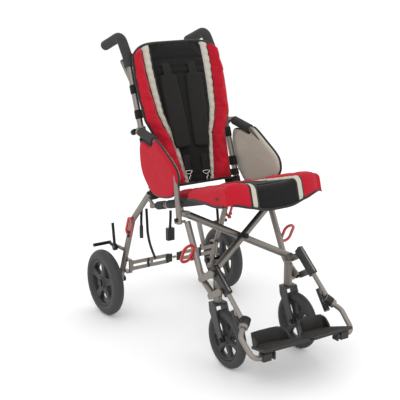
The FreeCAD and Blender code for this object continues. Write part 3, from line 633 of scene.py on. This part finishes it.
class CHAIR_OT_wheels(bpy.types.Operator):
    """Makes the tyres with their moulded beads and the spoked rims."""
    bl_idname = "chair.wheels"
    bl_label = "Wheels"

    def execute(self, context):
        for side, sign in SIDES:
            for kind, body, spokes in (("rear", "rear_wheel_", 5), ("caster", "caster_wheel_", 6)):
                node = "%s_tyre_%s" % (kind, side)
                low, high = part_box(node)
                centre, radius = np.array((low + high) / 2), (high.z - low.z) / 2
                half = (high.x - low.x) / 2
                angle = np.linspace(-math.pi / 2, math.pi / 2, 25)
                shoulder = radius - half
                tread = np.stack([half * np.sin(angle), shoulder + half * np.cos(angle)], 1)
                bead = radius - half * 1.72
                # The side wall steps in just above the bead, as a moulded tyre's does.
                wall = [(half * 0.97, shoulder - half * 0.2), (half * 0.9, bead + half * 0.22),
                        (half * 0.84, bead + half * 0.2), (half * 0.8, bead)]
                profile = np.vstack([[(-a, b) for a, b in reversed(wall)], tread, wall])
                tyre = turned(centre, X_AXIS, profile, 96)
                fitted(kind + "_tyre_moulded_" + side, [(*tyre, 0)], ["tyre"], body + side, "tyre", (node,))
                rim_half = 0.017 if kind == "rear" else 0.012
                hub = 0.024 if kind == "rear" else 0.017
                bore = 0.0062 if kind == "rear" else 0.0052
                lip = [(-rim_half, bead - 0.001), (-rim_half, bead - 0.006), (-rim_half * 0.7, bead - 0.010),
                       (rim_half * 0.7, bead - 0.010), (rim_half, bead - 0.006), (rim_half, bead - 0.001)]
                barrel = rim_half + 0.003
                boss = [(-barrel, bore), (-barrel, hub * 0.72), (-barrel * 0.7, hub), (barrel * 0.7, hub),
                        (barrel, hub * 0.72), (barrel, bore)]
                parts = [(*turned(centre, X_AXIS, lip, 96), 0), (*turned(centre, X_AXIS, boss, 48), 0)]
                reach = np.linspace(hub * 0.8, bead - 0.005, 16)
                t = (reach - reach[0]) / (reach[-1] - reach[0])
                # Each spoke is broad at the hub, slim in the middle and flares into the rim.
                broad = hub * (0.95 - 1.5 * t + 1.45 * t * t)
                deep = rim_half * (0.85 - 0.25 * np.sin(math.pi * t))
                section = np.stack([flat_band(2 * w, 2 * d, 20) for w, d in zip(broad, deep)])
                for number in range(spokes):
                    turn = 2 * math.pi * number / spokes + math.radians(18 if kind == "rear" else 8)
                    way = np.array([0, math.cos(turn), math.sin(turn)])
                    path = centre + reach[:, None] * way
                    across = np.broadcast_to(np.cross(X_AXIS, way), path.shape)
                    parts.append((*swept(path, across, np.broadcast_to(X_AXIS, path.shape), section), 0))
                fitted(kind + "_rim_moulded_" + side, parts, ["rim_plastic"], body + side, "rim_plastic",
                      ("%s_rim_%s" % (kind, side),))
        return {"FINISHED"}


class CHAIR_OT_back(bpy.types.Operator):
    """Makes the padded back with its bolsters, strips, head pad, seams and edge piping."""
    bl_idname = "chair.back"
    bl_label = "Back cushion"

    def execute(self, context):
        sizes = context.scene.chair_sizes
        v = np.linspace(0, 1, 110)
        inner, outer = back_seams(v)
        share, strips = strip_columns(inner, outer, (22, 8, 34, 8, 22))
        x, height = back_outline(share, v[:, None])
        size = abs(share)
        edge = np.minimum(1.0, np.minimum((1 - size) / 0.16, np.minimum(v[:, None], 1 - v[:, None]) / 0.045))
        fall = np.sqrt(np.clip(1 - (1 - edge) ** 2, 0, 1))
        crown = sizes.crown * 1000
        lobes = bump_between(share, inner[:, None], outer[:, None])
        # The bolsters stand well forward of the centre, which is a shallow trough.
        base = 32 + 21 * ease(size, outer[:, None] - 0.02, outer[:, None] + 0.16)
        quilting = sum(np.exp(-((height - h) / 4.0) ** 2) for h in (482, 452, 426)) * (size < inner[:, None])
        folds = np.sin(height / 11.0 + 2.4 * np.sin(share * 5.0)) * np.sin(height / 37.0 + share * 4.0)
        wrinkle = 1.5 * folds * ease(size, outer[:, None], outer[:, None] + 0.1)
        pucker = 1.1 * np.sin(height / 4.6) * ((size > inner[:, None]) & (size < outer[:, None]))
        front_depth = BACK_RIM + fall * (base - BACK_RIM + crown * lobes - 6 * quilting + wrinkle + pucker)
        back_depth = BACK_RIM - fall * (BACK_RIM - BACK_LINING)
        front, rear = on_back(x, height, front_depth), on_back(x, height, back_depth)
        item = closed_pad("back_pad", front, rear, strips, ["black_fabric", "beige_fabric", "red_fabric"])
        held = np.vstack([front[:, strips_edge] for strips_edge in BACK_SEAMS] + [rear.reshape(-1, 3)])
        inflate(item, lambda points: near(points, held), 3.0, 0.006)
        place(item, "left_side", "red_fabric", ("back_cushion",))
        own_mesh(item)
        radius = sizes.piping
        ring = np.vstack([front[:, 0], front[-1, 1:], front[::-1, -1][1:], front[0, ::-1][1:-1]])
        lines = [(*bar(smooth_line(ring[::4], 260, True), radius * 1.35, BACK_FRONT, True, 10), 0)]
        for column in BACK_SEAMS:
            lines.append((*bar(front[3:-3, column], radius, BACK_FRONT, sides=10), 0))
        piping = fitted("back_piping", lines, ["piping"], "left_side", "webbing")
        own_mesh(piping)
        eyelets = []
        for across in (-52, 52):
            turn = full_turn(24)
            ring_path = on_back(across + 7 * np.cos(turn), 506 + 7 * np.sin(turn), np.full(24, 41.5))
            eyelets.append((*bar(ring_path, 0.0022, BACK_FRONT, True, 10), 0))
        eyelets = fitted("head_pad_eyelets", eyelets, ["black_plastic"], "left_side", "black_plastic")
        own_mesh(eyelets)
        return {"FINISHED"}


def near(points, held):
    """True for each point that is one of the held points, matched on a tenth of a millimetre."""
    keys = {tuple(k) for k in np.round(held.reshape(-1, 3) * 1e4).astype(int).tolist()}
    return np.array([tuple(k) in keys for k in np.round(points * 1e4).astype(int).tolist()])


class CHAIR_OT_seat(bpy.types.Operator):
    """Makes the seat cover with its rolled front, its pad and the sling below it."""
    bl_idname = "chair.seat"
    bl_label = "Seat cushion"

    def execute(self, context):
        sizes = context.scene.chair_sizes
        radius, seat_front, pad_depth = 17.0, 473.0, 13.0
        v = np.linspace(0, 1, 90)
        hang = np.linspace(0, 1, 27)[1:]
        run = np.append(22 + v * (seat_front - radius - 22), np.full(26, seat_front - radius))
        front = np.append(np.zeros(90), hang)[:, None]
        inner = np.interp(run, [22, 240, 460], [0.34, 0.40, 0.46])
        outer = inner + 0.13
        share, strips = strip_columns(inner, outer, (12, 8, 34, 8, 12))
        share = np.hstack([-np.ones((116, 12)), share, np.ones((116, 12))])
        strips = np.concatenate([np.full(12, 2), strips, np.full(12, 2)])
        side = np.concatenate([np.linspace(1, 0, 13)[:-1], np.zeros(75), np.linspace(0, 1, 13)[1:]])[None]
        # The cover turns down over the rails at each side and over their front ends.
        skirt = 24 + 38 * ease(run, 225, 450)[:, None]
        front_face = 76 - 14 * ease(abs(share), 0.62, 1)
        out, side_down = folded(side * (skirt + QUARTER_SPARE * radius), radius)
        ahead, front_down = folded(front * (front_face + QUARTER_SPARE * radius), radius)
        half = 132 + 65.3 * ease(run, 208, 240) - 3 * ease(run, 400, 456)
        lobes = bump_between(share, inner[:, None], outer[:, None])
        rolled = ease(front_down, 0, radius)
        x = share * (half[:, None] - radius) + np.sign(share) * out
        corner = 13 * abs(share) ** 7 * ease(run, 330, 450)[:, None]
        along = run[:, None] - corner + ahead + 5 * lobes * rolled * (1 - ease(front, 0.8, 1))
        folds = np.sin(run[:, None] / 9.0 + 3 * share) * np.sin(run[:, None] / 31.0 - 2 * share)
        wrinkle = 1.4 * folds * ease(abs(share), outer[:, None], outer[:, None] + 0.12) * (1 - side)
        sag = (6 + 13 * ease(run, 200, 450)[:, None]) * np.exp(-(share / 0.52) ** 4)
        crown = sizes.crown * 700 * lobes - sag + wrinkle
        rise = np.append(ease(v, 0, 0.04), np.ones(26))[:, None]
        height = 14 + 20 * rise + (crown * (1 - rolled) - sag * rolled) * rise
        height = height - (side_down ** 6 + front_down ** 6) ** (1 / 6)
        top = on_seat(x, along, height)
        # The lining keeps inside the cover and meets it at the hem, so the two close into one shell.
        hem = rise * (1 - ease(front, 0.92, 1)) * (1 - ease(side, 0.9, 1))
        depth = (pad_depth - 0.35 * sag) * hem * (1 - ease(side, 0, 0.5)) * (1 - ease(front, 0, 0.5))
        under = on_seat(x - np.sign(share) * 1.4 * hem * ease(side, 0, 0.2),
                        along - 14 * hem * ease(front, 0, 0.3), height - depth)
        item = closed_pad("seat_pad", top, under, strips, ["black_fabric", "beige_fabric", "red_fabric"])
        held = np.vstack([top[:, c] for c in SEAT_SEAMS]
                         + [grid.reshape(-1, 3) for grid in (top[:, :14], top[:, 85:], top[88:], under)])
        inflate(item, lambda points: near(points, held), 3.0, 0.006)
        place(item, "seat_rail_left", "red_fabric", ("seat_cushion",))
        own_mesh(item)
        lines = [(*bar(top[-1, 13:86], sizes.piping, SEAT_UP, sides=10), 0)]
        for column in (0, *SEAT_SEAMS, 98):
            stop = -1 if 0 < column < 98 else 90
            lines.append((*bar(top[2:stop, column], sizes.piping, X_AXIS, sides=10), 0))
        piping = fitted("seat_piping", lines, ["piping"], "seat_rail_left", "webbing")
        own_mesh(piping)
        u = np.linspace(-1, 1, 40)
        s = np.linspace(22, 424, 40)
        grid_x, grid_s = np.meshgrid(u * 161, s)
        dip = 4.5 * (1 - (grid_x / 161) ** 2)
        upper = on_seat(grid_x, grid_s, 5 - dip)
        lower = on_seat(grid_x, grid_s, 2.6 - dip)
        edge = quads(40, 40)
        wall = [[a, b, b + 1600, a + 1600] for a, b in rim_pairs(40, 40)]
        sling = piece("seat_sling_cloth", np.vstack([upper.reshape(-1, 3), lower.reshape(-1, 3)]),
                      edge.tolist() + (edge[:, ::-1] + 1600).tolist() + wall, ["black_fabric"])
        place(sling, "seat_rail_left", "black_fabric", ("seat_sling",))
        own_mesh(sling)
        return {"FINISHED"}


def folded(excess, radius):
    """Outward and downward travel of cloth that runs past a flat edge and turns down round a radius."""
    angle = np.minimum(excess / radius, math.pi / 2)
    return radius * np.sin(angle), radius * (1 - np.cos(angle)) + np.maximum(excess - radius * math.pi / 2, 0)


def rim_pairs(rows, columns):
    """Neighbouring corner numbers round the edge of a grid."""
    ring = (list(range(columns)) + [r * columns + columns - 1 for r in range(1, rows)]
            + [(rows - 1) * columns + c for c in range(columns - 2, -1, -1)]
            + [r * columns for r in range(rows - 2, 0, -1)])
    return list(zip(ring, ring[1:] + ring[:1]))


class CHAIR_OT_guards(bpy.types.Operator):
    """Makes the padded side guards, red outside and lined inside, with piping round the edge."""
    bl_idname = "chair.guards"
    bl_label = "Side guards"

    def execute(self, context):
        # The top edge dips under the arm pad, then rises to wrap the falling run of the arm tube.
        top_edge = [(-205, 706), (-262, 699), (-281, 709), (-296, 726), (-380, 682)]
        # The soft panels have settled differently: the right one has drawn together.
        outlines = {"left": [(-168, 600), (-161, 688)] + top_edge
                    + [(-440, 644), (-456, 606), (-440, 575), (-392, 548), (-262, 515), (-214, 540)],
                    "right": [(-196, 610), (-186, 684)] + top_edge
                    + [(-430, 645), (-440, 606), (-420, 566), (-370, 540), (-286, 530), (-232, 562)]}
        for side, sign in SIDES:
            outline = outlines[side]
            edge = smooth_line([at(sign * 210.2, y, z) for y, z in outline], 160, True)
            middle = edge.mean(0)
            reach = 1 - np.linspace(0.99, 0, 26) ** 1.6
            flat = middle + reach[:, None, None] * (edge - middle)
            thick = 0.0128 * np.sqrt(np.clip(1 - reach ** 14, 0, 1))
            angle = full_turn(160)
            ripple = 1 + 0.03 * np.sin(5 * angle)[None] * reach[:, None] * (1 - reach[:, None]) * 4
            puff = (thick[:, None] * ripple)[..., None] * X_AXIS
            faces = quads(26, 160, False, True)
            hub = [[int(i) for i in range(160)]]
            outside, inside = flat + sign * puff, flat - sign * puff
            parts = np.vstack([outside.reshape(-1, 3), inside.reshape(-1, 3)])
            size = 26 * 160
            cells = (faces.tolist() + hub + (faces[:, ::-1] + size).tolist()
                     + [[i + size for i in hub[0]][::-1]])
            numbers = [0] * (len(faces) + 1) + [1] * (len(faces) + 1)
            item = piece("side_guard_" + side, parts, cells, ["red_fabric", "beige_fabric"], numbers)
            place(item, side + "_side", "red_fabric", ("hip_guard_" + side,))
            piping = joined("guard_piping_" + side, [(*bar(edge, 0.0042, X_AXIS, True, 10), 0)], ["piping"])
            place(piping, side + "_side", "webbing")
        return {"FINISHED"}


class CHAIR_OT_harness(bpy.types.Operator):
    """Makes the two shoulder pads, their webbing and the plated rings and hooks."""
    bl_idname = "chair.harness"
    bl_label = "Harness"

    def execute(self, context):
        sizes = context.scene.chair_sizes
        routes = {"right": [(-60, 462), (-61, 400), (-58, 300), (-54, 200), (-50, 100)],
                  "left": [(48, 462), (46, 400), (40, 300), (32, 200), (24, 92)]}
        for side, route in routes.items():
            line = smooth_line([on_back(x, h, 49.0) for x, h in route], 60)
            padded_run = line[10:52]
            across, up = axes_along(padded_run, BACK_FRONT)
            t = np.linspace(0, 1, len(padded_run))
            width = sizes.harness * (0.90 + 0.10 * np.sin(math.pi * t))
            width = width * np.clip(1 - (2 * t - 1) ** 60, 0.8, 1)
            section = np.stack([flat_band(w, 0.013, 24) for w in width])
            shell = swept(padded_run, across, up, section)
            pad = joined("shoulder_pad_" + side, [(*shell, 0)], ["pad_fabric"])
            place(pad, "left_side", "black_fabric", ("harness_pad_" + side,))
            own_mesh(pad)
            x, h = route[-1]
            upper = smooth_line([on_back(route[0][0], 478, 38), on_back(route[0][0], 462, 46),
                                 on_back(route[0][0], 430, 50), on_back(route[1][0], 396, 53)], 16)
            lower = smooth_line([on_back(x, h + 24, 53), on_back(x, h - 6, 50), on_back(x, h - 32, 47)], 12)
            webbing = [(*strap(upper, BACK_FRONT, sizes.webbing, 0.0026), 0),
                       (*strap(lower, BACK_FRONT, sizes.webbing * 0.72, 0.0026), 0)]
            webbing = fitted("harness_webbing_" + side, webbing, ["webbing"], "left_side", "webbing")
            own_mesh(webbing)
            turn = np.linspace(-math.pi, 0, 16)
            ring = on_back(x + 14 * np.cos(turn), h - 33 + 12 * np.sin(turn), np.full(16, 49.0))
            sway = np.sin(np.linspace(0, 2 * math.pi, 16))
            hook = on_back(x + 2 + 4 * sway, np.linspace(h - 44, h - 66, 16), np.full(16, 48.0))
            metal = [(*bar(ring, 0.0018, BACK_FRONT, sides=10), 0),
                     (*bar(hook, 0.0017, BACK_FRONT, sides=10), 0),
                     (*rod(on_back(x - 14, h - 33, 49), on_back(x + 14, h - 33, 49), 0.0018), 0)]
            metal = fitted("harness_ring_" + side, metal, ["nickel"], "left_side", "dark_steel")
            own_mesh(metal)
        return {"FINISHED"}


class CHAIR_OT_footrest(bpy.types.Operator):
    """Adds the footplate ribs, the ribbed unions, a painted highlight on each hanger and painted shade in the
    tube's holes.
    """
    bl_idname = "chair.footrest"
    bl_label = "Footrests"

    def execute(self, context):
        sizes = context.scene.chair_sizes
        slope = math.radians(17.3)
        run_way = np.array([0, -math.cos(slope), math.sin(slope)])
        up_way = np.array([0, math.sin(slope), math.cos(slope)])
        hang = np.array([0, -0.785, -0.620]) / np.linalg.norm([0.785, 0.620])
        lift = np.array([0, hang[2], -hang[1]])
        plate_corner = at(0, -781, 116)
        cup_height = 0.0492
        turn_way = np.array([0.65, -0.47, -0.60]) / np.linalg.norm([0.65, 0.47, 0.60])
        for side, sign in SIDES:
            slide = "footrest_slide_" + side
            ribs = []
            for distance in np.arange(0.016, 0.128, sizes.rib):
                left_edge = 0.012 if distance > 0.066 else 0.012 + (0.066 - distance) * 0.65
                right_edge = 0.146 + distance * 0.24
                path = np.array([[x, 0, 0] for x in np.linspace(left_edge, right_edge, 6)]) * [sign, 1, 1]
                path = path + plate_corner + run_way * distance + up_way * 0.0082
                across = np.broadcast_to(run_way, path.shape)
                ribs.append((*swept(path, across, np.broadcast_to(up_way, path.shape), circle(0.0014, 8)), 0))
            fitted("footplate_ribs_" + side, ribs, ["plate_plastic"], "footplate_" + side, "plate_plastic")
            # The heel cup is one smooth upright band, lower towards its two ends.
            cup = smooth_line([(151, 40), (148, 18), (138, 7), (118, 3.5), (88, 3.5), (66, 6), (48, 15),
                               (34, 31), (25, 50)], 70)
            base = (plate_corner + np.outer(cup[:, 0] * sign / 1000, X_AXIS)
                    + np.outer(cup[:, 1] / 1000, run_way) + up_way * 0.0035)
            across, up = axes_along(base, up_way)
            tall = cup_height * np.sqrt(np.clip(1.04 - abs(np.linspace(-1, 1, 70)) ** 5, 0.1, 1))
            section = np.stack([flat_band(0.0072, h, 20) + [0, h / 2] for h in tall])
            fitted("heel_cup_" + side, [(*swept(base, across, up, section), 0)], ["plate_plastic"],
                  "footplate_" + side, "plate_plastic")
            centre = at(sign * 177, -782, 212)
            way = turn_way * [sign, 1, 1]
            rings = []
            for offset in (-16, -10.5, -5, 0.5, 6):
                profile = [(-0.0017, 0.0150), (-0.0012, 0.0172), (0.0012, 0.0172), (0.0017, 0.0150)]
                rings.append((*turned(centre + way * offset / 1000, way, profile, 40), 0))
            fitted("union_ribs_" + side, rings, ["black_plastic"], slide, "black_plastic")
            # The union and its clamp sleeve are moulded black over the silver sliding tube.
            cover = [(*rod(centre - way * 0.0205, centre + way * 0.0098, 0.0158, 36), 0),
                     (*rod(at(sign * HANGER, -722, 238), at(sign * HANGER, -772, 172), 0.0109, 28), 0)]
            fitted("union_cover_" + side, cover, ["black_plastic"], slide, "black_plastic")
            hanger_top = at(sign * HANGER, -612, 346)
            # Painted shade: dark steel rods fill the adjustment holes, and their dark colour stands in for
            # the shade inside the tube.
            holes = []
            for distance in (0.122, 0.140, 0.158, 0.176):
                spot = hanger_top + hang * distance
                holes.append((*rod(spot - X_AXIS * 0.0083, spot + X_AXIS * 0.0083, 0.0022, 14), 0))
            fitted("slide_hole_shade_" + side, holes, ["dark_steel"], slide, "dark_steel")
            # Painted highlight: a thin silver strap on the front upper face of each dark hanger stands in for
            # the light it reflects.
            line = np.array([hanger_top + hang * d + lift * 0.0146 for d in np.linspace(-0.002, 0.1, 8)])
            highlight_strap = strap(line, lift, 0.006, 0.0016)
            fitted("hanger_highlight_strip_" + side, [(*highlight_strap, 0)], ["frame_tube"], side + "_side", "frame_tube")
        return {"FINISHED"}


class CHAIR_PT_panel(bpy.types.Panel):
    """Lists the chair's pieces, colours and sizes."""
    bl_label = "Push chair"
    bl_idname = "CHAIR_PT_panel"
    bl_space_type = "VIEW_3D"
    bl_region_type = "UI"
    bl_category = "Push chair"

    def draw(self, context):
        for settings in (context.scene.chair_colours, context.scene.chair_sizes):
            for name in settings.__annotations__:
                self.layout.prop(settings, name)
        for operator in OPERATORS:
            self.layout.operator(operator.bl_idname)


OPERATORS = (CHAIR_OT_stage, CHAIR_OT_cords, CHAIR_OT_frame, CHAIR_OT_wheels, CHAIR_OT_back, CHAIR_OT_seat,
             CHAIR_OT_guards, CHAIR_OT_harness, CHAIR_OT_footrest)
CLASSES = (ChairColours, ChairSizes) + OPERATORS + (CHAIR_PT_panel,)


def register():
    """Registers the classes and hangs the settings on the scene."""
    for item in CLASSES:
        bpy.utils.register_class(item)
    bpy.types.Scene.chair_colours = bpy.props.PointerProperty(type=ChairColours)
    bpy.types.Scene.chair_sizes = bpy.props.PointerProperty(type=ChairSizes)


def unregister():
    """Takes the settings and classes away again."""
    del bpy.types.Scene.chair_sizes
    del bpy.types.Scene.chair_colours
    for item in reversed(CLASSES):
        bpy.utils.unregister_class(item)


def main():
    register()
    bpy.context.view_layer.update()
    make_finishes(bpy.context.scene.chair_colours)
    for name in ("stage", "cords", "frame", "wheels", "back", "seat", "guards", "harness", "footrest"):
        getattr(bpy.ops.chair, name)()


if __name__ == "__main__":
    main()
